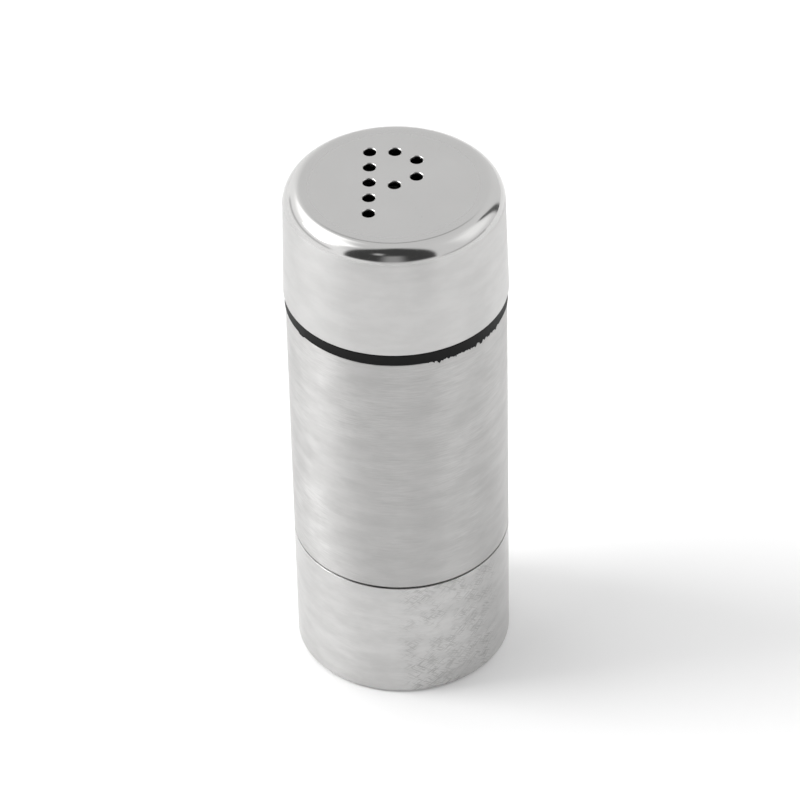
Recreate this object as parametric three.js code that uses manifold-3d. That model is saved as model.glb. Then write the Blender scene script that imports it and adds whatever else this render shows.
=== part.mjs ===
// A small table shaker for pepper. A black plastic jar wears a brushed steel sleeve and a steel base cup,
// and its threaded neck carries a drawn steel cap pierced with nine holes. A rubber band seals the cap
// against the sleeve. The cap unscrews from the neck for refilling.
//
// Millimetres, +Z up. The origin is the middle of the underside, where the foot pad meets the table.

import * as THREE from "three";
import { mergeVertices } from "three/addons/utils/BufferGeometryUtils.js";
import Module from "manifold-3d";

const wasm = await Module();
wasm.setup();

// Driving dimensions of the outside.
const BODY_RADIUS = 19; // the sleeve and the base cup
const CAP_RIM_RADIUS = 19.35;
const CAP_TOP_RADIUS = 18.8; // the cap narrows a little towards its top
const BAND_RADIUS = 19.1;
const HEIGHT = 98.7;
const SEAM_HEIGHT = 24.6; // where the sleeve meets the base cup
const SLEEVE_TOP = 74.9;
const CAP_RIM = 77.2;
const SHOULDER_FILLET = 3.3; // the rounded edge of the cap's top
const SHEET = 0.6; // thickness of the steel
const SHEET_EDGE = 0.2; // rounding of a cut edge

// Clearances.
const SEAT_GAP = 0.1; // between faces that rest on each other
const SEAM_GAP = 0.3; // the fine groove between sleeve and base cup
const SKIN_GAP = 0.4; // between the jar and its steel skins
const CAP_GAP = 0.3; // between the cap shell and its insert

// The jar and its neck.
const JAR_WALL = 1.6;
const JAR_RADIUS = BODY_RADIUS - SHEET - SKIN_GAP;
const JAR_DRAFT = 0.5; // how much narrower the jar is at its foot
const JAR_DRAFT_HEIGHT = JAR_WALL; // height over which it widens to its full radius
const JAR_FILLET = 1.2;
const JAR_INNER_FILLET = 0.3;
const NECK_RADIUS = 15.6;
const NECK_BORE = 14;
const NECK_TOP = 86.9;
const NECK_EDGE = 0.4; // rounding of the neck's rim
const NECK_TAPER = 4; // height over which the inside narrows to the neck's bore
const SHOULDER_THICKNESS = 1;
const RIB_COUNT = 8; // upright ribs that the steel skins are pressed over
const RIB_WIDTH = 1.2;
const RIB_DEPTH = 1;
const RIB_STAND = 0.28; // how far a rib stands out of the jar

// The standing ring pressed into the base, and the pad inside it.
const STAND_HEIGHT = 0.3;
const PANEL_RADIUS = 15.4;
const RING_RADIUS = 16.4; // inner edge of the standing ring
const PAD_THICKNESS = 1.2;
const PAD_RADIUS = 14.8;
const PAD_EDGE = 0.3;

// The screw thread: three starts, so that the cap is free after less than a turn.
const THREAD_STARTS = 3;
const THREAD_LEAD = 12;
const RIDGE_SWEEP = THREE.MathUtils.degToRad(140);
const RIDGE_ROOT_WIDTH = 2;
const RIDGE_CREST_WIDTH = 1.2;
const RIDGE_EMBED = 0.4; // how deep a ridge's foot lies in its wall
const RIDGE_FADE = 0.18; // share of the ridge over which each end fades out
const RIDGE_END = 0.25; // share of its depth left at the very end, inside the wall
const RIDGE_START = 80.7; // height at which the neck's ridges start
const NECK_CREST = 16.65;
const INSERT_CREST = 15.9;
const HALF_PITCH_DOWN = -0.5; // the insert's ridges lie halfway between the neck's, and under them

// The cap's insert, the liner under its flange, and the band on the neck.
const INSERT_BORE = 16.95;
const INSERT_BOTTOM = 77.6;
const INSERT_TOP = 94.4;
const FLANGE_BORE = 13.4;
const FLANGE_THICKNESS = 1.4;
const LINER_THICKNESS = 1.2;
const LINER_RADIUS = 16.6;
const LINER_BORE = 13.7;
const BAND_BORE = 15.9;
const BAND_EDGE = 0.25;

// The holes, set out as the letter P: a straight stem and a bowl of four holes on a half ellipse.
const HOLE_RADIUS = 1.1;
const HOLE_PITCH = 4.28;
const STEM_X = -4.15;
const STEM_HOLES = 5;
const STEM_CENTRE_Y = 0.75;
const BOWL_WIDTH = HOLE_PITCH;
const BOWL_HALF_HEIGHT = 1.09 * HOLE_PITCH;
const BOWL_HOLES = 4;
const BOWL_STEP = Math.PI / (BOWL_HOLES - 1);

// Fineness of the faceted solids.
const TURNED_SEGMENTS = 48;
const FILLET_FACET = 1.1; // length of a rounded corner's facets along its arc
const RIDGE_STEPS = 20;
const HOLE_SEGMENTS = 16;

const steel = new THREE.MeshStandardMaterial({ color: 0xc6c5c2, roughness: 0.34, metalness: 1 });
const blackPlastic = new THREE.MeshStandardMaterial({ color: 0x1c1c1b, roughness: 0.5, metalness: 0 });
const rubber = new THREE.MeshStandardMaterial({ color: 0x171716, roughness: 0.78, metalness: 0 });
const silicone = new THREE.MeshStandardMaterial({ color: 0xdcdad3, roughness: 0.6, metalness: 0 });

// The radius of the cap's outside at a height.
function capRadius(height) {
  return THREE.MathUtils.mapLinear(height, CAP_RIM, HEIGHT, CAP_RIM_RADIUS, CAP_TOP_RADIUS);
}

// A half section in the plane of radius and height, from its corners in counter-clockwise order. Each
// corner is [radius, height] or, where it is rounded, [radius, height, fillet].
function section(corners, closed = true) {
  const at = (i) => new THREE.Vector2(...corners.at(i % corners.length).slice(0, 2));
  const points = corners.flatMap(([, , fillet], i) => {
    const point = at(i);
    if (!fillet) return [point];
    const back = at(i - 1).sub(point).normalize();
    const ahead = at(i + 1).sub(point).normalize();
    const halfAngle = Math.acos(back.dot(ahead)) / 2;
    const centre = back.clone().add(ahead).setLength(fillet / Math.sin(halfAngle)).add(point);
    const reach = fillet / Math.tan(halfAngle);
    const from = point.clone().addScaledVector(back, reach).sub(centre);
    const to = point.clone().addScaledVector(ahead, reach).sub(centre);
    const clockwise = from.cross(to) < 0;
    const sweep = [from.angle(), to.angle(), clockwise];
    const arc = new THREE.EllipseCurve(centre.x, centre.y, fillet, fillet, ...sweep);
    return arc.getPoints(Math.max(2, Math.round(arc.getLength() / FILLET_FACET)));
  });
  if (closed) points.push(points[0].clone());
  return points;
}

// A solid turned about the Z axis from its half section.
function turned(corners, closed = true) {
  const lathe = new THREE.LatheGeometry(section(corners, closed), TURNED_SEGMENTS);
  return solidOf(lathe.rotateX(Math.PI / 2));
}

// A manifold-3d solid of a closed geometry, for the joins and cuts.
function solidOf(geometry) {
  const bare = new THREE.BufferGeometry();
  bare.setAttribute("position", geometry.getAttribute("position"));
  bare.setIndex(geometry.index);
  const merged = mergeVertices(bare, 1e-4);
  const corners = Array.from(merged.index.array);
  const triVerts = corners.filter((_, i) => {
    const [a, b, c] = corners.slice(i - (i % 3), i - (i % 3) + 3);
    return a !== b && b !== c && c !== a;
  });
  const mesh = new wasm.Mesh({
    numProp: 3,
    vertProperties: merged.getAttribute("position").array,
    triVerts: Uint32Array.from(triVerts),
  });
  return new wasm.Manifold(mesh);
}

// The three.js geometry of a manifold-3d solid.
function geometryOf(solid) {
  const mesh = solid.getMesh();
  const geometry = new THREE.BufferGeometry();
  geometry.setAttribute("position", new THREE.BufferAttribute(mesh.vertProperties, 3));
  geometry.setIndex(new THREE.BufferAttribute(mesh.triVerts, 1));
  return geometry;
}

// One ridge of a thread: a bar of trapezoid section wrapped about the Z axis as a helix. Its foot lies
// in the wall on the far side of rootRadius from the crest, and its ends fade into the wall.
function threadRidge(rootRadius, crestRadius, startAngle, startHeight) {
  const footRadius = rootRadius - Math.sign(crestRadius - rootRadius) * RIDGE_EMBED;
  const trapezoid = new THREE.Shape([
    new THREE.Vector2(-RIDGE_ROOT_WIDTH / 2, footRadius),
    new THREE.Vector2(RIDGE_ROOT_WIDTH / 2, footRadius),
    new THREE.Vector2(RIDGE_CREST_WIDTH / 2, crestRadius),
    new THREE.Vector2(-RIDGE_CREST_WIDTH / 2, crestRadius),
  ]);
  const bar = new THREE.ExtrudeGeometry(trapezoid, { depth: 1, steps: RIDGE_STEPS, bevelEnabled: false });
  const position = bar.getAttribute("position");
  for (let i = 0; i < position.count; i++) {
    const share = position.getZ(i);
    const inFromEnd = Math.min(share, 1 - share) / RIDGE_FADE;
    const grown = THREE.MathUtils.lerp(RIDGE_END, 1, Math.min(1, inFromEnd));
    const radius = footRadius + (position.getY(i) - footRadius) * grown;
    const turn = RIDGE_SWEEP * share;
    const height = startHeight + (THREAD_LEAD * turn) / (2 * Math.PI) + position.getX(i);
    const angle = startAngle + turn;
    position.setXYZ(i, radius * Math.cos(angle), radius * Math.sin(angle), height);
  }
  return solidOf(bar);
}

// A wall with the ridges of every start of the thread on it. phase is how far round the thread the
// ridges lie, as a share of the distance between two starts.
function withThread(wall, rootRadius, crestRadius, phase) {
  let made = wall;
  const startPitch = THREAD_LEAD / THREAD_STARTS;
  for (let start = 0; start < THREAD_STARTS; start++) {
    const startAngle = (start * 2 * Math.PI) / THREAD_STARTS;
    const ridge = threadRidge(rootRadius, crestRadius, startAngle, RIDGE_START + phase * startPitch);
    made = made.add(ridge);
  }
  return made;
}

// The centres of the nine holes.
function holeCentres() {
  const stem = Array.from({ length: STEM_HOLES }, (_, i) => {
    const steps = (STEM_HOLES - 1) / 2 - i;
    return new THREE.Vector2(STEM_X, STEM_CENTRE_Y + steps * HOLE_PITCH);
  });
  const bowlCentre = new THREE.Vector2(STEM_X + HOLE_PITCH, stem[0].y - BOWL_HALF_HEIGHT);
  const bowl = Array.from({ length: BOWL_HOLES }, (_, i) => {
    const angle = Math.PI / 2 - i * BOWL_STEP;
    return new THREE.Vector2(
      bowlCentre.x + BOWL_WIDTH * Math.cos(angle),
      bowlCentre.y + BOWL_HALF_HEIGHT * Math.sin(angle),
    );
  });
  return [...stem, ...bowl];
}

// The drawn steel cap: a deep cup, mouth down, with a rounded shoulder and the holes in its top.
function capShell() {
  const ceiling = HEIGHT - SHEET;
  let shell = turned(
    [
      [0, ceiling],
      [capRadius(ceiling) - SHEET, ceiling, SHOULDER_FILLET - SHEET],
      [CAP_RIM_RADIUS - SHEET, CAP_RIM, SHEET_EDGE],
      [CAP_RIM_RADIUS, CAP_RIM, SHEET_EDGE],
      [CAP_TOP_RADIUS, HEIGHT, SHOULDER_FILLET],
      [0, HEIGHT],
    ],
    false,
  );
  for (const centre of holeCentres()) {
    const punch = new THREE.CylinderGeometry(HOLE_RADIUS, HOLE_RADIUS, 4 * SHEET, HOLE_SEGMENTS);
    punch.rotateX(Math.PI / 2).translate(centre.x, centre.y, HEIGHT);
    shell = shell.subtract(solidOf(punch));
  }
  return shell;
}

// The plastic insert inside the cap: a ring with the female thread, a flange that presses the liner on
// the neck, and a collar above it that seats against the shell's shoulder.
function capInsert() {
  const flangeBottom = NECK_TOP + LINER_THICKNESS + 2 * SEAT_GAP;
  const flangeTop = flangeBottom + FLANGE_THICKNESS;
  const outerRadius = (height) => capRadius(height) - SHEET - CAP_GAP;
  const wall = turned([
    [INSERT_BORE, INSERT_BOTTOM],
    [outerRadius(INSERT_BOTTOM), INSERT_BOTTOM],
    [outerRadius(INSERT_TOP), INSERT_TOP],
    [INSERT_BORE, INSERT_TOP],
    [INSERT_BORE, flangeTop],
    [FLANGE_BORE, flangeTop],
    [FLANGE_BORE, flangeBottom],
    [INSERT_BORE, flangeBottom],
  ]);
  return withThread(wall, INSERT_BORE, INSERT_CREST, HALF_PITCH_DOWN);
}

// The soft washer between the neck's rim and the insert's flange.
function capLiner() {
  const bottom = NECK_TOP + SEAT_GAP;
  const top = bottom + LINER_THICKNESS;
  return turned([
    [LINER_BORE, bottom],
    [LINER_RADIUS, bottom],
    [LINER_RADIUS, top],
    [LINER_BORE, top],
  ]);
}

// The rubber band on the neck, squeezed between the cap's rim and the sleeve's.
function sealBand() {
  const bottom = SLEEVE_TOP + SEAT_GAP;
  const top = CAP_RIM - SEAT_GAP;
  return turned([
    [BAND_BORE, bottom],
    [BAND_RADIUS, bottom, BAND_EDGE],
    [BAND_RADIUS, top, BAND_EDGE],
    [BAND_BORE, top],
  ]);
}

// The plastic jar that holds the pepper, with its shoulder, threaded neck and the ribs that hold the
// steel skins round it.
function innerJar() {
  const floor = STAND_HEIGHT + PAD_THICKNESS + SHEET;
  const inside = JAR_RADIUS - JAR_WALL;
  const underShoulder = SLEEVE_TOP - SHOULDER_THICKNESS;
  let jar = turned(
    [
      [0, floor],
      [JAR_RADIUS - JAR_DRAFT, floor, JAR_FILLET],
      [JAR_RADIUS, floor + JAR_DRAFT_HEIGHT],
      [JAR_RADIUS, SLEEVE_TOP],
      [NECK_RADIUS, SLEEVE_TOP],
      [NECK_RADIUS, NECK_TOP, NECK_EDGE],
      [NECK_BORE, NECK_TOP, NECK_EDGE],
      [NECK_BORE, underShoulder],
      [inside, underShoulder - NECK_TAPER],
      [inside, floor + JAR_WALL, JAR_INNER_FILLET],
      [0, floor + JAR_WALL],
    ],
    false,
  );
  const ribBottom = floor + JAR_DRAFT_HEIGHT;
  const ribTop = underShoulder;
  for (let i = 0; i < RIB_COUNT; i++) {
    const rib = new THREE.BoxGeometry(RIB_DEPTH, RIB_WIDTH, ribTop - ribBottom);
    rib.translate(JAR_RADIUS + RIB_STAND - RIB_DEPTH / 2, 0, (ribBottom + ribTop) / 2);
    rib.rotateZ(((i + 0.5) * 2 * Math.PI) / RIB_COUNT);
    jar = jar.add(solidOf(rib));
  }
  return withThread(jar, NECK_RADIUS, NECK_CREST, 0);
}

// The steel tube round the jar.
function bodySleeve() {
  const bottom = SEAM_HEIGHT + SEAM_GAP / 2;
  const inner = BODY_RADIUS - SHEET;
  return turned([
    [inner, bottom],
    [BODY_RADIUS, bottom, SHEET_EDGE],
    [BODY_RADIUS, SLEEVE_TOP, SHEET_EDGE],
    [inner, SLEEVE_TOP],
  ]);
}

// The drawn steel cup at the foot: a standing ring round a raised panel that takes the pad.
function baseCup() {
  const top = SEAM_HEIGHT - SEAM_GAP / 2;
  const inner = BODY_RADIUS - SHEET;
  const panel = PAD_THICKNESS + SEAT_GAP;
  return turned(
    [
      [0, panel],
      [PANEL_RADIUS, panel],
      [RING_RADIUS, STAND_HEIGHT],
      [BODY_RADIUS, STAND_HEIGHT, 2 * SHEET_EDGE],
      [BODY_RADIUS, top, SHEET_EDGE],
      [inner, top],
      [inner, STAND_HEIGHT + SHEET],
      [RING_RADIUS, STAND_HEIGHT + SHEET],
      [PANEL_RADIUS, panel + SHEET],
      [0, panel + SHEET],
    ],
    false,
  );
}

// The non-slip pad in the base.
function footPad() {
  return turned(
    [
      [0, 0],
      [PAD_RADIUS, 0, PAD_EDGE],
      [PAD_RADIUS, PAD_THICKNESS],
      [0, PAD_THICKNESS],
    ],
    false,
  );
}

function piece(name, solid, material) {
  const mesh = new THREE.Mesh(geometryOf(solid), material);
  mesh.name = name;
  return mesh;
}

const body = new THREE.Group();
body.add(
  piece("foot_pad", footPad(), rubber),
  piece("base_cup", baseCup(), steel),
  piece("body_sleeve", bodySleeve(), steel),
  piece("inner_jar", innerJar(), blackPlastic),
  piece("seal_band", sealBand(), rubber),
);

const cap = new THREE.Group();
cap.add(
  piece("cap_shell", capShell(), steel),
  piece("cap_insert", capInsert(), blackPlastic),
  piece("cap_liner", capLiner(), silicone),
);

const shaker = new THREE.Group();
shaker.add(body, cap);

export default shaker;
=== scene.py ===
"""The looks of a small steel pepper shaker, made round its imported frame.

Sizes are in metres. Each piece of the shaker is a Part with its own half section, turned about the Z
axis, and each finish is a Surface. Studio adds the table, the light and the camera.
"""

import logging
import math
from dataclasses import dataclass
from enum import Enum
from typing import Any, Sequence

import bmesh
import bpy
from mathutils import Matrix, Vector


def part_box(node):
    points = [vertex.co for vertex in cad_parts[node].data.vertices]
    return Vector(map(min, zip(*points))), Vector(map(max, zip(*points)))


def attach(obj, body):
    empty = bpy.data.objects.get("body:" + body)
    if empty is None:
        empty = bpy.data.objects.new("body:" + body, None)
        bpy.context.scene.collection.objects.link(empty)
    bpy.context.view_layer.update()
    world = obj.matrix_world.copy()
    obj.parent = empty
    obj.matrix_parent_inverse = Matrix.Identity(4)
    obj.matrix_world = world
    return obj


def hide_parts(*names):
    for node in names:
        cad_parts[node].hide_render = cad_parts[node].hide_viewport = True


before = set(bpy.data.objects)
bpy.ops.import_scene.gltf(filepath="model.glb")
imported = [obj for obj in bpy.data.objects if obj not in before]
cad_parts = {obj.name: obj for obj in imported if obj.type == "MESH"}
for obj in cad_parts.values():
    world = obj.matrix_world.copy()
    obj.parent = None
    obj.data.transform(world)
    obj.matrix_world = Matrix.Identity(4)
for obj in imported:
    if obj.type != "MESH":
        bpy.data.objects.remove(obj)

LOG = logging.getLogger("pepper_shaker")
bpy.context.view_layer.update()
MM = 0.001
TURN = 2 * math.pi
SEGMENTS = 256  # facets round a turned piece
HOLD = 0.15 * MM  # length of the short facet that keeps a flat face flat beside a fillet
FILLET_FACET = 0.22 * MM
TOUCHING = 1e-8  # metres between points that count as one
SHARP_ANGLE = math.radians(30)
ALONG_AXIS = 0.25  # anisotropic rotation that draws reflections out along Z


class Body(Enum):
    """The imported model's moving bodies."""

    SHAKER = "shaker_body"
    LINER = "liner"
    CAP = "cap"


class Slot(Enum):
    """The record's material slots."""

    BRUSHED_STEEL = "brushed_steel"
    POLISHED_STEEL = "polished_steel"
    JAR_PLASTIC = "jar_plastic"
    BAND_RUBBER = "band_rubber"
    PAD_RUBBER = "pad_rubber"
    LINER_SILICONE = "liner_silicone"


# ---------------------------------------------------------------- node trees


class Term:
    """A socket's value in an expression: each operator adds its Math node to the tree."""

    def __init__(self, graph: "Graph", socket: bpy.types.NodeSocket) -> None:
        """Wraps one output socket of a graph."""
        self.graph = graph
        self.socket = socket

    def math(self, operation: str, *others: "Term | float") -> "Term":
        """This value and others through one Math node."""
        return self.graph.math(operation, self, *others)

    def __add__(self, other: "Term | float") -> "Term":
        """The sum."""
        return self.math("ADD", other)

    __radd__ = __add__

    def __sub__(self, other: "Term | float") -> "Term":
        """The difference."""
        return self.math("SUBTRACT", other)

    def __rsub__(self, other: "Term | float") -> "Term":
        """The difference, the other way round."""
        return self.graph.math("SUBTRACT", other, self)

    def __mul__(self, other: "Term | float") -> "Term":
        """The product."""
        return self.math("MULTIPLY", other)

    __rmul__ = __mul__

    def __truediv__(self, other: "Term | float") -> "Term":
        """The quotient."""
        return self.math("DIVIDE", other)

    def __pow__(self, other: "Term | float") -> "Term":
        """The power."""
        return self.math("POWER", other)

    def __abs__(self) -> "Term":
        """The size without the sign."""
        return self.math("ABSOLUTE")

    def __gt__(self, other: "Term | float") -> "Term":
        """1 where this is greater, otherwise 0."""
        return self.math("GREATER_THAN", other)

    def __lt__(self, other: "Term | float") -> "Term":
        """1 where this is less, otherwise 0."""
        return self.math("LESS_THAN", other)

    def cos(self) -> "Term":
        """The cosine of an angle in radians."""
        return self.math("COSINE")

    def sin(self) -> "Term":
        """The sine of an angle in radians."""
        return self.math("SINE")

    def least(self, other: "Term | float") -> "Term":
        """The lesser of the two."""
        return self.math("MINIMUM", other)

    def most(self, other: "Term | float") -> "Term":
        """The greater of the two."""
        return self.math("MAXIMUM", other)

    def ramp(self, low: "Term | float", high: "Term | float") -> "Term":
        """A smooth step from 0 at low to 1 at high. Low may be the greater of the two.

        Args:
            low: The value at which the step starts.
            high: The value at which it ends.

        Returns:
            The step's height, from 0 to 1.
        """
        sockets = {"Value": self, "From Min": low, "From Max": high}
        return self.graph.term("ShaderNodeMapRange", {"interpolation_type": "SMOOTHSTEP"}, sockets)

    def window(self, centre: float, half_width: float, soft: float) -> "Term":
        """1 within half_width of centre, falling smoothly to 0 over soft."""
        return abs(self - centre).ramp(half_width + soft, half_width)

    def mixed(self, other: "Term | float", share: "Term") -> "Term":
        """This value where share is 0, and the other one where it is 1."""
        return self * (1 - share) + other * share


class Graph:
    """A shader or geometry node tree that is written as expressions."""

    def __init__(self, tree: bpy.types.NodeTree) -> None:
        """Takes over a tree and empties it."""
        self.tree = tree
        tree.nodes.clear()

    def feed(self, socket: bpy.types.NodeSocket, value: Any) -> None:
        """Links a term or socket to an input, or sets the input's own value.

        Args:
            socket: The input.
            value: A term, a list of terms, a socket or a plain value.
        """
        if isinstance(value, (list, tuple)) and value and isinstance(value[0], Term):
            for term in value:
                self.feed(socket, term)
        elif isinstance(value, Term):
            self.tree.links.new(value.socket, socket)
        elif isinstance(value, bpy.types.NodeSocket):
            self.tree.links.new(value, socket)
        else:
            socket.default_value = value

    def node(
        self,
        kind: str,
        settings: dict[str, Any] | None = None,
        sockets: dict[str | int, Any] | None = None,
    ) -> bpy.types.Node:
        """Adds one node.

        Args:
            kind: The node's type.
            settings: Its properties, set first.
            sockets: Its inputs by name or number, each a value, a term or a socket.

        Returns:
            The node.
        """
        made = self.tree.nodes.new(kind)
        for name, value in (settings or {}).items():
            setattr(made, name, value)
        for key, value in (sockets or {}).items():
            self.feed(made.inputs[key], value)
        return made

    def term(
        self,
        kind: str,
        settings: dict[str, Any] | None = None,
        sockets: dict[str | int, Any] | None = None,
        output: str | int = 0,
    ) -> Term:
        """Adds one node and gives one of its outputs as a term."""
        return Term(self, self.node(kind, settings, sockets).outputs[output])

    def math(self, operation: str, *values: "Term | float") -> Term:
        """Adds one Math node."""
        return self.term("ShaderNodeMath", {"operation": operation}, dict(enumerate(values)))

    def split(self, vector: Term) -> tuple[Term, Term, Term]:
        """A vector's three parts."""
        outputs = self.node("ShaderNodeSeparateXYZ", None, {0: vector}).outputs
        return Term(self, outputs[0]), Term(self, outputs[1]), Term(self, outputs[2])

    def join(self, x: "Term | float", y: "Term | float", z: "Term | float") -> Term:
        """A vector of three parts."""
        return self.term("ShaderNodeCombineXYZ", None, {0: x, 1: y, 2: z})

    def mix_colour(self, share: "Term | float", first: Any, second: Any) -> Term:
        """A colour between two others."""
        settings = {"data_type": "RGBA", "clamp_factor": True}
        return self.term("ShaderNodeMix", settings, {0: share, 6: first, 7: second}, 2)

    def placed(
        self,
        vector: Term,
        scale: Sequence[float] = (1, 1, 1),
        turn: Sequence[float] = (0, 0, 0),
    ) -> Term:
        """A vector scaled, then turned, by one Mapping node."""
        sockets = {"Vector": vector, "Rotation": turn, "Scale": scale}
        return self.term("ShaderNodeMapping", None, sockets)

    def noise(self, vector: Term, scale: float = 1, detail: float = 2, rough: float = 0.5) -> Term:
        """Fractal noise about 0.5."""
        sockets = {"Vector": vector, "Scale": scale, "Detail": detail, "Roughness": rough}
        return self.term("ShaderNodeTexNoise", {"noise_dimensions": "3D"}, sockets)


class Geometry(Graph):
    """A geometry node group on a named modifier, with named inputs."""

    def __init__(self, name: str) -> None:
        """Makes an empty group that takes and gives a geometry.

        Args:
            name: The group's name, and its modifier's.
        """
        super().__init__(bpy.data.node_groups.new(name, "GeometryNodeTree"))
        self.values: dict[str, Any] = {}
        self.tree.interface.new_socket("Geometry", in_out="INPUT", socket_type="NodeSocketGeometry")
        self.tree.interface.new_socket("Geometry", in_out="OUTPUT", socket_type="NodeSocketGeometry")
        self.entry = self.node("NodeGroupInput")

    def input(self, name: str, value: Any) -> Term:
        """Adds a named input of the type of its value.

        Args:
            name: The input's name.
            value: A length or number, a whole number, or a material.

        Returns:
            The input's value in the tree.
        """
        kinds = {float: "NodeSocketFloat", int: "NodeSocketInt", bpy.types.Material: "NodeSocketMaterial"}
        socket = self.tree.interface.new_socket(name, in_out="INPUT", socket_type=kinds[type(value)])
        self.values[socket.identifier] = value
        return Term(self, self.entry.outputs[name])

    def incoming(self) -> Term:
        """The geometry that the modifier is given."""
        return Term(self, self.entry.outputs["Geometry"])

    def index(self) -> Term:
        """Each point's number."""
        return self.term("GeometryNodeInputIndex")

    def position(self) -> tuple[Term, Term, Term]:
        """Each point's place."""
        return self.split(self.term("GeometryNodeInputPosition"))

    def moved(self, geometry: Term, place: Term) -> Term:
        """A geometry with its points put at a place."""
        return self.term("GeometryNodeSetPosition", None, {"Geometry": geometry, "Position": place})

    def turned_copies(self, geometry: Term, count: Term, start: "Term | float") -> Term:
        """Copies of a geometry at even turns about Z.

        Args:
            geometry: What is copied.
            count: How many copies there are.
            start: The first one's turn, in radians.

        Returns:
            The copies, as instances.
        """
        points = self.term("GeometryNodeMeshLine", None, {"Count": count, "Offset": (0, 0, 0)})
        angle = start + self.index() * TURN / count
        sockets = {"Points": points, "Instance": geometry, "Rotation": self.join(0, 0, angle)}
        return self.term("GeometryNodeInstanceOnPoints", None, sockets)

    def boolean(self, operation: str, first: Term, second: Term) -> Term:
        """Two solids joined or cut.

        Args:
            operation: UNION or DIFFERENCE.
            first: The solid that is added to or cut.
            second: The other solid, whose instances are made real first.

        Returns:
            The result.
        """
        real = self.term("GeometryNodeRealizeInstances", None, {0: second})
        settings = {"operation": operation, "solver": "EXACT"}
        if operation == "UNION":
            return self.term("GeometryNodeMeshBoolean", settings, {"Mesh 2": [first, real]})
        return self.term("GeometryNodeMeshBoolean", settings, {"Mesh 1": first, "Mesh 2": real})

    def creased(self, geometry: Term, angle: float) -> Term:
        """A geometry that is smooth everywhere but at its sharp edges.

        Args:
            geometry: The geometry.
            angle: The bend from which an edge is sharp, in radians.

        Returns:
            The shaded geometry.
        """
        smooth = self.term("GeometryNodeSetShadeSmooth", {"domain": "FACE"}, {0: geometry})
        bend = self.term("GeometryNodeInputMeshEdgeAngle")
        return self.term(
            "GeometryNodeSetShadeSmooth",
            {"domain": "EDGE"},
            {0: smooth, "Selection": bend > angle, "Shade Smooth": False},
        )

    def applied(self, piece: bpy.types.Object, geometry: Term, material: Term) -> bpy.types.Object:
        """Ends the tree and turns the piece into the plain mesh that it gives.

        Args:
            piece: The object that the tree works on.
            geometry: The tree's result.
            material: The material for all of it.

        Returns:
            The same object with the new mesh and no modifier.
        """
        real = self.term("GeometryNodeRealizeInstances", None, {0: geometry})
        dressed = self.term("GeometryNodeSetMaterial", None, {"Geometry": real, "Material": material})
        self.node("NodeGroupOutput", None, {0: dressed})
        modifier = piece.modifiers.new(self.tree.name, "NODES")
        modifier.node_group = self.tree
        for identifier, value in self.values.items():
            modifier[identifier] = value
        graph = bpy.context.evaluated_depsgraph_get()
        mesh = bpy.data.meshes.new_from_object(piece.evaluated_get(graph), depsgraph=graph)
        piece.modifiers.remove(modifier)
        mesh.name = piece.data.name
        piece.data = mesh
        return piece


# ---------------------------------------------------------------- finishes


def material_graph(name: str) -> tuple[bpy.types.Material, Graph]:
    """Makes a material.

    Args:
        name: Its name.

    Returns:
        The material and its empty node tree.
    """
    material = bpy.data.materials.new(name)
    material.use_nodes = True
    return material, Graph(material.node_tree)


@dataclass(frozen=True)
class Surface:
    """What every finish has: a name, a colour and a roughness, and the ways to make them vary."""

    name: str
    colour: tuple[float, float, float]
    roughness: float

    def material(self) -> bpy.types.Material:
        """The finish as a material."""
        raise NotImplementedError

    def finished(self, graph: Graph, varying: dict[str, Any], fixed: dict[str, Any]) -> None:
        """Adds the shader and the output.

        Args:
            graph: The material's tree.
            varying: Terms for the sockets that change over the surface.
            fixed: Plain values for the other sockets.
        """
        graph.node("ShaderNodeOutputMaterial", None, {0: self.shader(graph, varying, fixed)})

    def shader(self, graph: Graph, varying: dict[str, Any], fixed: dict[str, Any]) -> bpy.types.NodeSocket:
        """Adds the shader.

        Args:
            graph: The material's tree.
            varying: Terms for the sockets that change over the surface.
            fixed: Plain values for the other sockets.

        Returns:
            Its output.
        """
        return graph.node("ShaderNodeBsdfPrincipled", None, {**fixed, **varying}).outputs[0]

    def bump(self, graph: Graph, height: Term, depth: float) -> Term:
        """The normal of a surface whose height goes from 0 to 1 over a depth in metres."""
        return graph.term("ShaderNodeBump", None, {"Height": height, "Distance": depth, "Strength": 1.0})

    def object_place(self, graph: Graph) -> Term:
        """The place on the piece, in metres."""
        return graph.term("ShaderNodeTexCoord", None, None, "Object")

    def shaded(self, graph: Graph, share: Term, spread: float) -> Term:
        """The finish's colour, from darker to lighter.

        Args:
            graph: The material's tree.
            share: 0 where it is darkest, 1 where it is lightest.
            spread: How far it goes each way, as a share of the colour.

        Returns:
            The colour.
        """
        dark = (*(c * (1 - spread) for c in self.colour), 1)
        light = (*(min(1, c * (1 + spread)) for c in self.colour), 1)
        return graph.mix_colour(share, dark, light)


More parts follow.
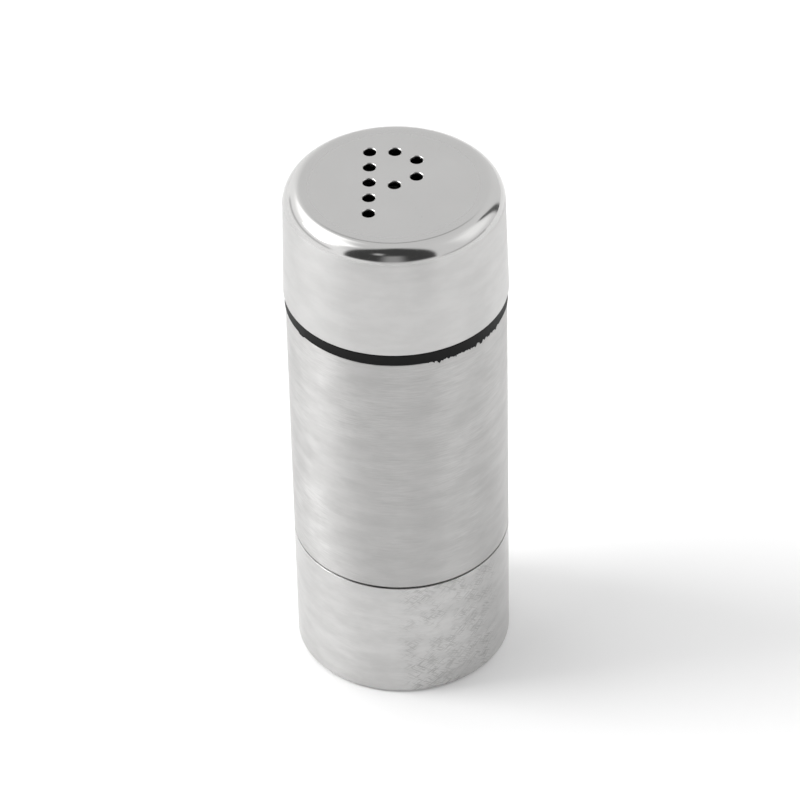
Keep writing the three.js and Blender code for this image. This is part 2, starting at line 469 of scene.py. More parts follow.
@dataclass(frozen=True)
class BrushedSteel(Surface):
    """Steel tube brushed round its axis, cloudy with handling, and rubbed on one side of some pieces.

    Scales are features per metre.
    """

    smear: float = 0.88  # how far the brushing draws reflections out along the axis
    grain_length: float = 3 * MM
    grain_width: float = 0.2 * MM
    grain_depth: float = 0.0009 * MM
    contrast: float = 1.0
    band_length: float = 3.0  # in grain lengths
    band_width: float = 12.0  # in grain widths
    smudge_scale: tuple[float, float, float] = (150, 150, 420)
    cloud_scale: float = 95
    colour_spread: float = 0.2
    rub_strength: float = 0.0
    rub_angle: float = math.radians(-60)
    rub_half_width: float = math.radians(20)
    rub_fade: float = math.radians(16)
    rub_tilts: tuple[float, float] = (math.radians(38), math.radians(-34))
    rub_lengths: tuple[float, float] = (2 * MM, 1.7 * MM)
    rub_width: float = 0.2 * MM
    rub_patch_scale: float = 300

    def scratches(self, graph: Graph, place: Term, tilt: float, length: float) -> Term:
        """Fine straight scratches near the rubbed side.

        Args:
            graph: The material's tree.
            place: The place on the piece.
            tilt: Their tilt from level, in radians.
            length: About how long they are.

        Returns:
            1 on a scratch, 0 elsewhere.
        """
        facing = graph.placed(place, turn=(0, 0, -self.rub_angle - math.pi / 2))
        tilted = graph.placed(facing, turn=(0, tilt, 0))
        stretched = graph.placed(tilted, scale=(1 / length, 1 / length, 1 / self.rub_width))
        return graph.noise(stretched, detail=1).ramp(0.52, 0.66)

    def rubbed(self, graph: Graph, place: Term) -> Term:
        """The crossed scratches of the rubbed side, thick in some patches and thin in others.

        Args:
            graph: The material's tree.
            place: The place on the piece.

        Returns:
            1 on a scratch, 0 elsewhere.
        """
        x, y, _ = graph.split(graph.placed(place, turn=(0, 0, -self.rub_angle)))
        side = y.math("ARCTAN2", x).window(0, self.rub_half_width, self.rub_fade)
        patches = graph.noise(place, scale=self.rub_patch_scale, detail=2).ramp(0.32, 0.6)
        one_way, other_way = (
            self.scratches(graph, place, tilt, length)
            for tilt, length in zip(self.rub_tilts, self.rub_lengths)
        )
        return one_way.most(other_way) * side * patches

    def material(self) -> bpy.types.Material:
        """Makes the finish: level streaks over smudges and clouds.

        Returns:
            The material.
        """
        material, graph = material_graph(self.name)
        place = self.object_place(graph)
        level, upright = 1 / self.grain_length, 1 / self.grain_width
        along = graph.placed(place, scale=(level, level, upright))
        grain = graph.noise(along, detail=3, rough=0.6).ramp(0.25, 0.75)
        level, upright = level / self.band_length, upright / self.band_width
        bands = graph.noise(graph.placed(place, scale=(level, level, upright)), detail=2).ramp(0.3, 0.7)
        smudged = graph.placed(place, scale=self.smudge_scale)
        smudges = graph.noise(smudged, detail=4, rough=0.6).ramp(0.3, 0.7)
        clouds = graph.noise(place, scale=self.cloud_scale, detail=3).ramp(0.3, 0.7)
        patches = clouds.ramp(0.2, 0.8) * 0.7 + 0.3
        tone = (grain - 0.5) * patches * self.contrast * 0.5
        tone = tone + smudges * 0.3 + clouds * 0.15 + bands * 0.1 + 0.22
        roughness = self.roughness + (grain - 0.5) * 0.08
        roughness = roughness + (smudges - 0.5) * 0.03 + (clouds - 0.5) * 0.02
        height = grain * patches
        if self.rub_strength:
            marks = self.rubbed(graph, place) * self.rub_strength
            roughness = roughness + marks * 0.1
            tone = tone - marks * 0.5
            height = height - marks * 0.8
        self.finished(
            graph,
            {
                "Base Color": self.shaded(graph, tone, self.colour_spread),
                "Roughness": roughness,
                "Normal": self.bump(graph, height, self.grain_depth),
            },
            {"Metallic": 1.0, "Anisotropic": self.smear, "Anisotropic Rotation": ALONG_AXIS},
        )
        return material


@dataclass(frozen=True)
class DrawnSteel(Surface):
    """Drawn sheet: a satin flat top and side, and a shoulder that the die left polished.

    Scales are features per metre.
    """

    shoulder: float = 0.0  # the height at which the side ends
    flat_radius: float = 0.0  # the radius at which the flat top ends
    smear: float = 0.8  # how far the side's brushing draws reflections out along the axis
    shoulder_roughness: float = 0.12
    top_roughness: float = 0.3
    relief: float = 0.0016 * MM
    lean: float = 0.5 * MM  # how far the top of the side leans in
    lean_start: float = 5 * MM  # below the shoulder
    lean_end: float = 1.5 * MM  # above it
    polish_start: float = 0.5 * MM  # above the shoulder's foot
    polish_end: float = 1.3 * MM
    satin_start: float = 0.5 * MM  # outside the flat's edge
    satin_end: float = 1.5 * MM  # inside it
    cloud_scale: float = 110
    wave_scale: float = 190
    ripple_scale: float = 700
    grain_scale: tuple[float, float, float] = (70, 70, 2600)
    fine_scale: float = 2600
    smudge_scale: tuple[float, float, float] = (150, 150, 420)
    colour_spread: float = 0.04

    def material(self) -> bpy.types.Material:
        """Makes the finish as two shaders, a brushed one for the side and a plain one above it.

        Returns:
            The material.
        """
        material, graph = material_graph(self.name)
        place = self.object_place(graph)
        x, y, z = graph.split(place)
        radius = (x * x + y * y).math("SQRT")
        above = z.ramp(self.shoulder + self.polish_start, self.shoulder + self.polish_end)
        flat = radius.ramp(self.flat_radius + self.satin_start, self.flat_radius - self.satin_end) * above
        leaning = z.ramp(self.shoulder - self.lean_start, self.shoulder + self.lean_end)
        clouds = graph.noise(place, scale=self.cloud_scale, detail=3)
        fine = graph.noise(place, scale=self.fine_scale, detail=2)
        waves = graph.noise(place, scale=self.wave_scale, detail=1)
        ripples = graph.noise(place, scale=self.ripple_scale, detail=2)
        grain = graph.noise(graph.placed(place, scale=self.grain_scale), detail=3, rough=0.6)
        smudged = graph.placed(place, scale=self.smudge_scale)
        smudges = graph.noise(smudged, detail=4, rough=0.6).ramp(0.3, 0.7)
        side_rough = self.roughness + (clouds - 0.5) * 0.12 + (grain - 0.5) * 0.08
        top_rough = self.top_roughness + (fine - 0.5) * 0.08 + (clouds - 0.5) * 0.06
        shoulder_rough = self.shoulder_roughness + (clouds - 0.5) * 0.05
        satin_height = ((grain - 0.5) * 0.2 + (fine - 0.5) * 0.1) * (1 - above).most(flat)
        wave_height = (waves - 0.5) * (1 - flat * 0.8) * above * 2.5
        ripple_height = (ripples - 0.5) * above * (1 - flat) * 0.4
        height = satin_height + wave_height + ripple_height - leaning * (self.lean / self.relief)
        varying = {
            "Base Color": self.shaded(graph, smudges * (1 - above) + clouds * above, self.colour_spread),
            "Roughness": side_rough.mixed(shoulder_rough, above).mixed(top_rough, flat),
            "Normal": self.bump(graph, height, self.relief),
        }
        fixed = {"Metallic": 1.0, "Anisotropic": self.smear, "Anisotropic Rotation": ALONG_AXIS}
        brushed = self.shader(graph, varying, fixed)
        polished = self.shader(graph, varying, {"Metallic": 1.0})
        both = graph.node("ShaderNodeMixShader", None, {0: above, 1: brushed, 2: polished})
        graph.node("ShaderNodeOutputMaterial", None, {0: both.outputs[0]})
        return material


@dataclass(frozen=True)
class Moulding(Surface):
    """Moulded plastic, rubber or silicone with a fine texture of the mould."""

    texture_size: float = 0.12 * MM
    texture_depth: float = 0.004 * MM
    cloud_scale: float = 140  # clouds per metre
    colour_spread: float = 0.2
    gloss: float = 0.5

    def material(self) -> bpy.types.Material:
        """Makes the finish.

        Returns:
            The material.
        """
        material, graph = material_graph(self.name)
        place = self.object_place(graph)
        texture = graph.noise(place, scale=1 / self.texture_size, detail=2)
        clouds = graph.noise(place, scale=self.cloud_scale, detail=3)
        self.finished(
            graph,
            {
                "Base Color": self.shaded(graph, clouds, self.colour_spread),
                "Roughness": self.roughness + (texture - 0.5) * 0.16 + (clouds - 0.5) * 0.1,
                "Normal": self.bump(graph, texture, self.texture_depth),
            },
            {"Specular IOR Level": self.gloss},
        )
        return material


@dataclass(frozen=True)
class TableSheet(Surface):
    """The smooth white sheet that the shaker stands on."""

    glow: float = 0.0
    gloss: float = 0.1
    cloud_scale: float = 30  # clouds per metre
    colour_spread: float = 0.01

    def material(self) -> bpy.types.Material:
        """Makes the finish.

        Returns:
            The material.
        """
        material, graph = material_graph(self.name)
        clouds = graph.noise(self.object_place(graph), scale=self.cloud_scale, detail=3)
        self.finished(
            graph,
            {
                "Base Color": self.shaded(graph, clouds, self.colour_spread),
                "Roughness": self.roughness + (clouds - 0.5) * 0.05,
            },
            {
                "Specular IOR Level": self.gloss,
                "Emission Color": (1, 1, 1, 1),
                "Emission Strength": self.glow,
            },
        )
        return material


# ---------------------------------------------------------------- meshes


@dataclass(frozen=True)
class Corner:
    """One corner of a half section, rounded by a fillet."""

    radius: float
    height: float
    fillet: float = 0.0


def half_section(corners: Sequence[Corner], closed: bool) -> list[Vector]:
    """The points of a half section, with each fillet as an arc between two short straight facets.

    Args:
        corners: The corners in order.
        closed: Whether the last corner joins the first.

    Returns:
        The points, as (radius, height).
    """
    points: list[Vector] = []
    places = [Vector((c.radius, c.height)) for c in corners]
    for i, corner in enumerate(corners):
        here = places[i]
        if not corner.fillet:
            points.append(here)
            continue
        back = places[i - 1] - here
        ahead = places[(i + 1) % len(places)] - here
        half = back.angle(ahead) / 2
        reach = corner.fillet / math.tan(half)
        middle = (back.normalized() + ahead.normalized()).normalized()
        centre = here + middle * corner.fillet / math.sin(half)
        start = here + back.normalized() * reach - centre
        end = here + ahead.normalized() * reach - centre
        sweep = start.angle_signed(end)
        steps = max(4, round(abs(sweep) * corner.fillet / FILLET_FACET))
        arc = [centre + Matrix.Rotation(-sweep * k / steps, 2) @ start for k in range(steps + 1)]
        if back.length > reach + 3 * HOLD:
            points.append(here + back.normalized() * (reach + HOLD))
        points.extend(arc)
        if ahead.length > reach + 3 * HOLD:
            points.append(here + ahead.normalized() * (reach + HOLD))
    if closed:
        points.append(points[0].copy())
    return points


def turned(
    name: str, corners: Sequence[Corner], closed: bool = True, segments: int = SEGMENTS
) -> bpy.types.Object:
    """A piece turned about the Z axis.

    Args:
        name: The piece's name.
        corners: Its half section. An open one starts and ends on the axis.
        closed: Whether the section closes on itself.
        segments: The number of facets round the axis.

    Returns:
        The piece, linked to the scene.
    """
    section = half_section(corners, closed)
    bm = bmesh.new()
    rings = []
    for k in range(segments):
        across, along = math.cos(TURN * k / segments), math.sin(TURN * k / segments)
        rings.append([bm.verts.new((p.x * across, p.x * along, p.y)) for p in section])
    for k in range(segments):
        here, there = rings[k], rings[(k + 1) % segments]
        for a in range(len(section) - 1):
            bm.faces.new((here[a], there[a], there[a + 1], here[a + 1]))
    return piece_of(name, bm)


def piece_of(name: str, bm: bmesh.types.BMesh) -> bpy.types.Object:
    """Merges a mesh's doubles, turns its faces outwards and makes it an object.

    Args:
        name: The piece's name.
        bm: The mesh, which is freed.

    Returns:
        The piece, linked to the scene, smooth but for its sharp edges.
    """
    bmesh.ops.remove_doubles(bm, verts=bm.verts, dist=TOUCHING)
    bmesh.ops.dissolve_degenerate(bm, edges=bm.edges, dist=TOUCHING)
    bmesh.ops.recalc_face_normals(bm, faces=bm.faces)
    for face in bm.faces:
        face.smooth = True
    for edge in bm.edges:
        edge.smooth = edge.calc_face_angle(0) < SHARP_ANGLE
    mesh = bpy.data.meshes.new(name)
    bm.to_mesh(mesh)
    bm.free()
    piece = bpy.data.objects.new(name, mesh)
    bpy.context.scene.collection.objects.link(piece)
    return piece


@dataclass
class Part:
    """What every piece has: a CAD node that it stands for, a body that it rides on, and a half section."""

    name: str
    node: str
    body: Body
    slot: Slot
    closed: bool = True  # a piece without a bore is open on the axis
    segments: int = SEGMENTS

    def section(self) -> list[Corner]:
        """The piece's half section."""
        raise NotImplementedError

    def worked(self, piece: bpy.types.Object, material: bpy.types.Material) -> bpy.types.Object:
        """The turned piece with its holes, ridges or ribs, where it has any."""
        return piece

    def build(self, finish: Surface) -> bpy.types.Object:
        """Turns the piece, works on it and dresses it.

        Args:
            finish: Its finish.

        Returns:
            The piece.
        """
        material = finish.material()
        blank = turned(self.name, self.section(), self.closed, self.segments)
        return self.dress(self.worked(blank, material), material)

    def dress(self, piece: bpy.types.Object, material: bpy.types.Material) -> bpy.types.Object:
        """Gives a finished piece its material and ties it to the frame.

        Args:
            piece: The finished piece.
            material: Its material.

        Returns:
            The same piece.
        """
        piece.data.materials.clear()
        piece.data.materials.append(material)
        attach(piece, self.body.value)
        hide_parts(self.node)
        return piece


@dataclass(frozen=True)
class Thread:
    """A three-start screw thread, the same on the neck and in the cap."""

    starts: int = 3
    lead: float = 12 * MM
    sweep: float = math.radians(140)
    root_width: float = 2 * MM
    crest_width: float = 1.2 * MM
    foot: float = 0.4 * MM  # how far the ridges reach into the wall
    fade: float = 0.18  # share of the ridge's length in which each end rises
    end_height: float = 0.25  # share of the ridge's height at its very ends
    steps: int = 72

    def cut(
        self,
        piece: bpy.types.Object,
        root: float,
        crest: float,
        start: float,
        material: bpy.types.Material,
    ) -> bpy.types.Object:
        """Joins the ridges to a wall.

        Args:
            piece: The wall.
            root: The wall's radius.
            crest: The radius of the ridges' crests.
            start: The height at which the ridges start.
            material: The piece's material.

        Returns:
            The same piece.
        """
        tree = Geometry(f"{piece.name}_thread")
        dress = tree.input("Material", material)
        starts = tree.input("Starts", self.starts)
        lead = tree.input("Lead", self.lead)
        sweep = tree.input("Sweep", self.sweep)
        root_width = tree.input("Root Width", self.root_width)
        crest_width = tree.input("Crest Width", self.crest_width)
        foot_radius = tree.input("Foot Radius", root - math.copysign(self.foot, crest - root))
        crest_radius = tree.input("Crest Radius", crest)
        start_height = tree.input("Start Height", start)
        fade = tree.input("Fade", self.fade)
        sockets = {"Size": (1, 1, 1), "Vertices X": self.steps + 1, "Vertices Y": 5, "Vertices Z": 4}
        bar = tree.term("GeometryNodeMeshCube", None, sockets)
        x, y, z = tree.position()
        along = x + 0.5
        outwards = z + 0.5
        grown = along.least(1 - along).math("DIVIDE", fade).least(1.0)
        grown = grown * (1 - self.end_height) + self.end_height
        width = root_width + (crest_width - root_width) * outwards
        radius = foot_radius + (crest_radius - foot_radius) * outwards * grown
        angle = sweep * along
        height = start_height + lead * angle / TURN + y * width
        ridge = tree.moved(bar, tree.join(radius * angle.cos(), radius * angle.sin(), height))
        flipped = tree.term("GeometryNodeFlipFaces", None, {0: ridge})
        ridges = tree.turned_copies(ridge if crest > root else flipped, starts, math.pi / 2)
        joined = tree.boolean("UNION", tree.incoming(), ridges)
        return tree.applied(piece, tree.creased(joined, SHARP_ANGLE), dress)


@dataclass
class PiercedCap(Part):
    """The drawn steel cap with its nine holes, five in a stem and four in a bowl."""

    name: str = "pierced_cap"
    node: str = "cap_shell"
    body: Body = Body.CAP
    slot: Slot = Slot.POLISHED_STEEL
    closed: bool = False
    top_radius: float = 18.8 * MM
    sheet: float = 0.6 * MM
    shoulder: float = 3.3 * MM
    edge: float = 0.2 * MM
    hole_radius: float = 1.1 * MM
    hole_flare: float = 0.15 * MM
    pitch: float = 4.28 * MM
    stem_x: float = -4.15 * MM
    stem_centre: float = 0.75 * MM
    stem_holes: int = 5
    bowl_holes: int = 4
    bowl_stretch: float = 1.09  # the bowl's half height against the pitch
    hole_facets: int = 48
    hole_steps: int = 16  # rings of facets down a hole
    hole_crease: float = math.radians(9)

    def section(self) -> list[Corner]:
        """The cup, from the middle of its ceiling round the rim to the middle of its top.

        Returns:
            The corners.
        """
        low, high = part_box(self.node)
        ceiling = high.z - self.sheet
        return [
            Corner(0, ceiling),
            Corner(self.top_radius - self.sheet, ceiling, self.shoulder - self.sheet),
            Corner(high.x - self.sheet, low.z, self.edge),
            Corner(high.x, low.z, self.edge),
            Corner(self.top_radius, high.z, self.shoulder),
            Corner(0, high.z),
        ]

    def worked(self, piece: bpy.types.Object, material: bpy.types.Material) -> bpy.types.Object:
        """Cuts the holes, each flared at both faces of the sheet.

        Args:
            piece: The cap.
            material: Its material.

        Returns:
            The same piece.
        """
        _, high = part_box(self.node)
        tree = Geometry("holes")
        steel = tree.input("Material", material)
        radius = tree.input("Hole Radius", self.hole_radius)
        flare = tree.input("Flare", self.hole_flare)
        sheet = tree.input("Sheet", self.sheet)
        pitch = tree.input("Pitch", self.pitch)
        stem_x = tree.input("Stem X", self.stem_x)
        stem_centre = tree.input("Stem Centre", self.stem_centre)
        stem_holes = tree.input("Stem Holes", self.stem_holes)
        bowl_holes = tree.input("Bowl Holes", self.bowl_holes)
        bowl_height = tree.input("Bowl Height", self.bowl_stretch * self.pitch)
        middle = tree.input("Sheet Middle", high.z - self.sheet / 2)
        stem_top = stem_centre + pitch * (stem_holes - 1) / 2
        line = tree.term("GeometryNodeMeshLine", None, {"Count": stem_holes, "Offset": (0, 0, 0)})
        stem = tree.moved(line, tree.join(stem_x, stem_top - tree.index() * pitch, middle))
        line = tree.term("GeometryNodeMeshLine", None, {"Count": bowl_holes, "Offset": (0, 0, 0)})
        angle = math.pi / 2 - tree.index() * math.pi / (bowl_holes - 1)
        bowl_x = stem_x + pitch + pitch * angle.cos()
        bowl_y = stem_top - bowl_height + bowl_height * angle.sin()
        bowl = tree.moved(line, tree.join(bowl_x, bowl_y, middle))
        centres = tree.term("GeometryNodeJoinGeometry", None, {0: [bowl, stem]})
        sizes = {"Vertices": self.hole_facets, "Side Segments": self.hole_steps}
        sizes |= {"Radius": radius, "Depth": sheet * 1.5}
        punch = tree.term("GeometryNodeMeshCylinder", None, sizes)
        x, y, z = tree.position()
        widened = ((abs(z) - sheet / 2 + flare) / flare).most(0.0).least(1.0)
        grown = (radius + flare * widened * widened) / radius
        punch = tree.moved(punch, tree.join(x * grown, y * grown, z))
        punches = tree.term("GeometryNodeInstanceOnPoints", None, {"Points": centres, "Instance": punch})
        cut = tree.boolean("DIFFERENCE", tree.incoming(), punches)
        return tree.applied(piece, tree.creased(cut, self.hole_crease), steel)


@dataclass
class ScrewInsert(Part):
    """The plastic ring with the female thread, pressed into the cap."""

    name: str = "screw_insert"
    node: str = "cap_insert"
    body: Body = Body.CAP
    slot: Slot = Slot.JAR_PLASTIC
    thread: Thread = Thread()
    bore: float = 16.95 * MM
    crest: float = 15.9 * MM
    flange_bore: float = 13.4 * MM
    flange_gap: float = 0.1 * MM  # between the washer and the flange
    flange: float = 1.4 * MM
    top_radius: float = 17.96 * MM
    thread_lift: float = 1.1 * MM  # from the ring's foot to the ridges
    edge: float = 0.25 * MM

    def section(self) -> list[Corner]:
        """The ring with its flange over the washer.

        Returns:
            The corners.
        """
        low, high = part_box(self.node)
        _, washer_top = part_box("cap_liner")
        flange_bottom = washer_top.z + self.flange_gap
        flange_top = flange_bottom + self.flange
        return [
            Corner(self.bore, low.z, self.edge),
            Corner(high.x, low.z, self.edge),
            Corner(self.top_radius, high.z, self.edge),
            Corner(self.bore, high.z, self.edge),
            Corner(self.bore, flange_top, self.edge),
            Corner(self.flange_bore, flange_top, self.edge),
            Corner(self.flange_bore, flange_bottom, self.edge),
            Corner(self.bore, flange_bottom, self.edge),
        ]

    def worked(self, piece: bpy.types.Object, material: bpy.types.Material) -> bpy.types.Object:
        """The ring with the thread inside it."""
        low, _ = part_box(self.node)
        return self.thread.cut(piece, self.bore, self.crest, low.z + self.thread_lift, material)


@dataclass
class SealingWasher(Part):
    """The loose washer under the insert's flange."""

    name: str = "sealing_washer"
    node: str = "cap_liner"
    body: Body = Body.LINER
    slot: Slot = Slot.LINER_SILICONE
    bore: float = 13.7 * MM
    edge: float = 0.3 * MM

    def section(self) -> list[Corner]:
        """A rectangle with rounded edges.

        Returns:
            The corners.
        """
        low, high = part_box(self.node)
        return [
            Corner(self.bore, low.z, self.edge),
            Corner(high.x, low.z, self.edge),
            Corner(high.x, high.z, self.edge),
            Corner(self.bore, high.z, self.edge),
        ]


@dataclass
class RubberBand(Part):
    """The black band on the neck, with a little flash left along its lower edge."""

    name: str = "rubber_band"
    node: str = "seal_band"
    body: Body = Body.SHAKER
    slot: Slot = Slot.BAND_RUBBER
    segments: int = 3 * SEGMENTS
    bore: float = 15.9 * MM
    edge: float = 0.22 * MM
    lip: float = 0.12 * MM  # thickness of the flash
    lip_drop: float = 0.02 * MM
    clear: float = 0.03 * MM  # between the sleeve and the flash
    flash_length: float = 0.8 * MM
    long_run: tuple[float, float, float] = (-48, 19, 9)  # middle, half width and fade, in degrees
    lone_bit: tuple[float, float, float] = (-147, 1.6, 1.5)
    seed: float = 4.0
    lump_scale: float = 26  # lumps per radian
    tear_scale: float = 90  # tears per radian

    def skin(self) -> float:
        """The radius of the flash's inner face, just outside the sleeve."""
        _, sleeve_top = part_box("body_sleeve")
        return sleeve_top.x + self.clear

    def section(self) -> list[Corner]:
        """The band, with a thin lip low down outside the sleeve.

        Returns:
            The corners.
        """
        low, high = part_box(self.node)
        skin = self.skin()
        return [
            Corner(self.bore, low.z),
            Corner(skin, low.z),
            Corner(skin, low.z - self.lip_drop),
            Corner(skin + self.lip, low.z - self.lip_drop),
            Corner(high.x, low.z + self.edge),
            Corner(high.x, high.z, self.edge),
            Corner(self.bore, high.z),
        ]

    def worked(self, piece: bpy.types.Object, material: bpy.types.Material) -> bpy.types.Object:
        """Pulls the lip down over the sleeve where the mould left flash.

        Args:
            piece: The band.
            material: Its material.

        Returns:
            The same piece.
        """
        low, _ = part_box(self.node)
        margin = self.lip_drop / 2
        tree = Geometry("flash")
        rubber = tree.input("Material", material)
        length = tree.input("Flash Length", self.flash_length)
        seed = tree.input("Seed", self.seed)
        x, y, z = tree.position()
        angle = y.math("ARCTAN2", x)
        long_run = angle.window(*map(math.radians, self.long_run))
        lone_bit = angle.window(*map(math.radians, self.lone_bit))
        along = tree.join(angle, seed, 0.0)
        lumps = tree.noise(along, scale=self.lump_scale, detail=3, rough=0.6).ramp(0.42, 0.6)
        torn = tree.noise(along, scale=self.tear_scale, detail=2).ramp(0.3, 0.7)
        drop = length * (long_run * lumps * (torn * 0.5 + 0.5) + lone_bit * 0.35)
        outside = (x * x + y * y).math("SQRT") > self.skin() - margin
        shape = tree.moved(tree.incoming(), tree.join(x, y, z - drop * ((z < low.z - margin) * outside)))
        return tree.applied(piece, tree.creased(shape, SHARP_ANGLE), rubber)


@dataclass
class PepperJar(Part):
    """The black jar with its threaded neck and the ribs under the steel."""

    name: str = "pepper_jar"
    node: str = "inner_jar"
    body: Body = Body.SHAKER
    slot: Slot = Slot.JAR_PLASTIC
    closed: bool = False
    thread: Thread = Thread()
    wall: float = 1.6 * MM
    draft: float = 0.5 * MM
    draft_height: float = 1.6 * MM
    neck_radius: float = 15.6 * MM
    neck_bore: float = 14 * MM
    neck_crest: float = 16.65 * MM
    taper: float = 4 * MM
    shoulder_wall: float = 1 * MM
    thread_lift: float = 5.8 * MM  # from the shoulder to the ridges
    ribs: int = 8
    rib_stand: float = 0.28 * MM
    rib_depth: float = 1 * MM
    rib_width: float = 1.2 * MM
    fillet: float = 1.1 * MM
    edge: float = 0.3 * MM
    rim: float = 0.4 * MM
    inner_bend: float = 0.8 * MM

    def shoulder(self) -> float:
        """The height of the jar's shoulder, level with the sleeve's top."""
        _, sleeve_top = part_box("body_sleeve")
        return sleeve_top.z

    def section(self) -> list[Corner]:
        """The jar, from the middle of its underside up the neck and down to its floor.

        Returns:
            The corners.
        """
        low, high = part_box(self.node)
        shoulder = self.shoulder()
        inside = high.x - self.wall
        under = shoulder - self.shoulder_wall
        return [
            Corner(0, low.z),
            Corner(high.x - self.draft, low.z, self.fillet),
            Corner(high.x, low.z + self.draft_height, self.rim),
            Corner(high.x, shoulder, self.edge),
            Corner(self.neck_radius, shoulder, self.edge),
            Corner(self.neck_radius, high.z, self.rim),
            Corner(self.neck_bore, high.z, self.rim),
            Corner(self.neck_bore, under, self.inner_bend),
            Corner(inside, under - self.taper, self.inner_bend),
            Corner(inside, low.z + self.wall, self.edge),
            Corner(0, low.z + self.wall),
        ]

    def worked(self, piece: bpy.types.Object, material: bpy.types.Material) -> bpy.types.Object:
        """The jar with its ribs and thread."""
        start = self.shoulder() + self.thread_lift
        return self.thread.cut(
            self.ribbed(piece, material), self.neck_radius, self.neck_crest, start, material
        )

    def ribbed(self, piece: bpy.types.Object, material: bpy.types.Material) -> bpy.types.Object:
        """Joins the upright ribs that the steel is pressed over.

        Args:
            piece: The jar.
            material: Its material.

        Returns:
            The same piece.
        """
        low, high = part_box(self.node)
        bottom, top = low.z + self.draft_height, self.shoulder() - self.shoulder_wall
        tree = Geometry("ribs")
        plastic = tree.input("Material", material)
        ribs = tree.input("Ribs", self.ribs)
        rib_radius = tree.input("Rib Radius", high.x + self.rib_stand - self.rib_depth / 2)
        middle = tree.input("Middle Height", (bottom + top) / 2)
        size = (self.rib_depth, self.rib_width, top - bottom)
        bar = tree.term("GeometryNodeMeshCube", None, {"Size": size})
        x, y, z = tree.position()
        rib = tree.moved(bar, tree.join(x + rib_radius, y, z + middle))
        copies = tree.turned_copies(rib, ribs, math.pi / self.ribs)
        joined = tree.boolean("UNION", tree.incoming(), copies)
        return tree.applied(piece, tree.creased(joined, SHARP_ANGLE), plastic)


@dataclass
class SteelSleeve(Part):
    """The steel tube of the body."""

    name: str = "steel_sleeve"
    node: str = "body_sleeve"
    body: Body = Body.SHAKER
    slot: Slot = Slot.BRUSHED_STEEL
    sheet: float = 0.6 * MM
    edge: float = 0.2 * MM
    foot_edge: float = 0.45 * MM
    closing: float = 0.05 * MM  # how far its foot closes the seam

    def section(self) -> list[Corner]:
        """The tube's wall, rounder at the seam.

        Returns:
            The corners.
        """
        low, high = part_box(self.node)
        foot = low.z - self.closing
        return [
            Corner(high.x - self.sheet, foot, self.edge),
            Corner(high.x, foot, self.foot_edge),
            Corner(high.x, high.z, self.edge),
            Corner(high.x - self.sheet, high.z, self.edge),
        ]


@dataclass
class SteelBase(Part):
    """The drawn steel cup at the foot."""

    name: str = "steel_base"
    node: str = "base_cup"
    body: Body = Body.SHAKER
    slot: Slot = Slot.BRUSHED_STEEL
    closed: bool = False
    sheet: float = 0.6 * MM
    edge: float = 0.05 * MM
    closing: float = 0.05 * MM  # how far its edge closes the seam
    foot_edge: float = 0.35 * MM
    panel_radius: float = 15.4 * MM
    ring_radius: float = 16.4 * MM
    panel_gap: float = 0.1 * MM  # between the pad and the base's panel
    bend: float = 0.4 * MM

    def section(self) -> list[Corner]:
        """The cup, whose middle is drawn up over the pad.

        Returns:
            The corners.
        """
        low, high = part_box(self.node)
        _, pad_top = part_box("foot_pad")
        panel = pad_top.z + self.panel_gap
        inner = high.x - self.sheet
        top = high.z + self.closing
        return [
            Corner(0, panel),
            Corner(self.panel_radius, panel, self.bend),
            Corner(self.ring_radius, low.z, self.bend),
            Corner(high.x, low.z, self.foot_edge),
            Corner(high.x, top, self.edge),
            Corner(inner, top, self.edge),
            Corner(inner, low.z + self.sheet),
            Corner(self.ring_radius, low.z + self.sheet, self.bend),
            Corner(self.panel_radius, panel + self.sheet, self.bend),
            Corner(0, panel + self.sheet),
        ]


@dataclass
class RubberFoot(Part):
    """The pad in the base, with shallow grooves for grip."""

    name: str = "rubber_foot"
    node: str = "foot_pad"
    body: Body = Body.SHAKER
    slot: Slot = Slot.PAD_RUBBER
    closed: bool = False
    edge: float = 0.3 * MM
    grooves: int = 4
    groove_width: float = 0.8 * MM
    groove_depth: float = 0.4 * MM

    def section(self) -> list[Corner]:
        """The pad, with its round grooves from the middle outwards.

        Returns:
            The corners.
        """
        low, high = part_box(self.node)
        corners = [Corner(0, low.z)]
        pitch = high.x / (self.grooves + 1)
        bottom = low.z + self.groove_depth
        for groove in range(1, self.grooves + 1):
            inner = groove * pitch - self.groove_width / 2
            outer = inner + self.groove_width
            corners += [Corner(inner, low.z), Corner(inner, bottom)]
            corners += [Corner(outer, bottom), Corner(outer, low.z)]
        return corners + [Corner(high.x, low.z, self.edge), Corner(high.x, high.z), Corner(0, high.z)]


# ---------------------------------------------------------------- studio


@dataclass(frozen=True)
class Panel:
    """A soft-edged field of light or dark in the room, as azimuth and elevation in degrees.

    Azimuth is counted from the camera's side to the right.
    """

    azimuth: float
    half_width: float
    elevation: float
    half_height: float
    soft: float
    level: float

    def over(self, level: Term, azimuth: Term, elevation: Term) -> Term:
        """The room's light with this panel in it.

        Args:
            level: The light without it.
            azimuth: The azimuth looked at.
            elevation: The elevation looked at.

        Returns:
            The light with it.
        """
        wide = azimuth.window(self.azimuth, self.half_width, self.soft)
        high = elevation.window(self.elevation, self.half_height, self.soft)
        return level.mixed(self.level, wide * high)


